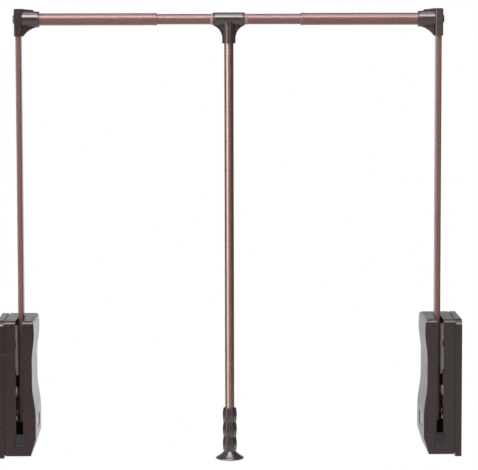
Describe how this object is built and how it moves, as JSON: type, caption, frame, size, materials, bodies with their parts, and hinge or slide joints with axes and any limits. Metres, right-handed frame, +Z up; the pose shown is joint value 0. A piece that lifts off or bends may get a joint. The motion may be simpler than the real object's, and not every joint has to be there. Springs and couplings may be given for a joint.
{
  "type": "pull down closet rod",
  "caption": "Wardrobe lift: a telescopic hanging bar on two spring-lifted side arms that swings down and forwards when its long centre handle is pulled.",
  "frame": {"origin": "outer face of the left base plate, on the axis about which the frame swings", "axes": "+X across to the right wall face, -Y to the front where the bar comes down, +Z up"},
  "size_m": [0.838, 0.115, 0.8232],
  "materials": {
    "moulded_plastic": "satin dark brown",
    "bronze_aluminium": "satin rose bronze anodised",
    "bright_steel": "zinc plated",
    "white_nylon": "natural nylon",
    "black_rubber": "matt",
    "badge_plastic": "satin grey, blank",
    "bronze_nylon": "nylon tinted to match the tubes"
  },
  "bodies": {
    "left_unit": {"left_base_plate": "moulded_plastic", "left_cover": "moulded_plastic", "left_badge_panel": "badge_plastic", "left_stop_block": "black_rubber", "left_cover_screws": "bright_steel", "left_pivot_pin": "bright_steel", "left_pivot_clip": "bright_steel", "left_gas_cylinder": "bright_steel", "left_cylinder_clips": "moulded_plastic", "left_cylinder_gland": "black_rubber", "left_rod_guide": "white_nylon"},
    "left_plunger": {"left_piston_rod": "bright_steel", "left_crosshead": "bright_steel"},
    "left_arm": {"left_pivot_bushes": "white_nylon", "left_arm_tube": "bronze_aluminium", "left_crank_lever": "bright_steel", "left_crank_pin": "bright_steel", "left_crank_sleeve": "white_nylon", "left_lever_rivets": "bright_steel", "left_corner_fitting": "moulded_plastic", "left_corner_screw": "bright_steel", "left_corner_cap": "moulded_plastic", "left_outer_tube": "bronze_aluminium", "left_tube_plug": "white_nylon", "left_tube_bush": "bronze_nylon"},
    "inner_rail": {"inner_tube": "bronze_aluminium", "tee_rings": "bronze_nylon"},
    "handle": {"tee_connector": "moulded_plastic", "tee_screw": "bright_steel", "handle_tube": "bronze_aluminium", "grip": "moulded_plastic", "knob": "moulded_plastic"},
    "right_arm": {"right_pivot_bushes": "white_nylon", "right_arm_tube": "bronze_aluminium", "right_crank_lever": "bright_steel", "right_crank_pin": "bright_steel", "right_crank_sleeve": "white_nylon", "right_lever_rivets": "bright_steel", "right_corner_fitting": "moulded_plastic", "right_corner_screw": "bright_steel", "right_corner_cap": "moulded_plastic", "right_outer_tube": "bronze_aluminium", "right_tube_plug": "white_nylon", "right_tube_bush": "bronze_nylon"},
    "right_unit": {"right_base_plate": "moulded_plastic", "right_cover": "moulded_plastic", "right_badge_panel": "badge_plastic", "right_stop_block": "black_rubber", "right_cover_screws": "bright_steel", "right_pivot_pin": "bright_steel", "right_pivot_clip": "bright_steel", "right_gas_cylinder": "bright_steel", "right_cylinder_clips": "moulded_plastic", "right_cylinder_gland": "black_rubber", "right_rod_guide": "white_nylon"},
    "right_plunger": {"right_piston_rod": "bright_steel", "right_crosshead": "bright_steel"}
  },
  "joints": [
    {"name": "frame_swing", "type": "hinge", "parent": "left_unit", "child": "left_arm", "pos_m": [0.0395, 0, 0], "axis": [1, 0, 0], "range_deg": [0, 106], "stiffness_Nm_per_rad": 4, "springref_deg": -51.57},
    {"name": "left_telescope", "type": "slide", "parent": "left_arm", "child": "inner_rail", "axis": [1, 0, 0], "range_m": [-0.094, 0.02]},
    {"name": "right_telescope", "type": "slide", "parent": "inner_rail", "child": "right_arm", "axis": [1, 0, 0], "range_m": [-0.094, 0.02]},
    {"name": "handle_swivel", "type": "hinge", "parent": "inner_rail", "child": "handle", "pos_m": [0.419, 0, 0.717], "axis": [-1, 0, 0], "continuous": true},
    {"name": "right_swing", "type": "hinge", "parent": "right_arm", "child": "right_unit", "pos_m": [0.7985, 0, 0], "axis": [1, 0, 0], "range_deg": [-106.1, 0.1]},
    {"name": "left_plunger_slide", "type": "slide", "parent": "left_unit", "child": "left_plunger", "axis": [0, 0, 1], "range_m": [0, 0.0272]},
    {"name": "right_plunger_slide", "type": "slide", "parent": "right_unit", "child": "right_plunger", "axis": [0, 0, 1], "range_m": [0, 0.0272]}
  ],
  "couplings": [
    {"joint": "right_swing", "follows": "frame_swing", "ratio": -1},
    {"joint": "left_plunger_slide", "follows": "frame_swing", "m_per_rad": 0.014677},
    {"joint": "right_plunger_slide", "follows": "frame_swing", "m_per_rad": 0.014677}
  ]
}
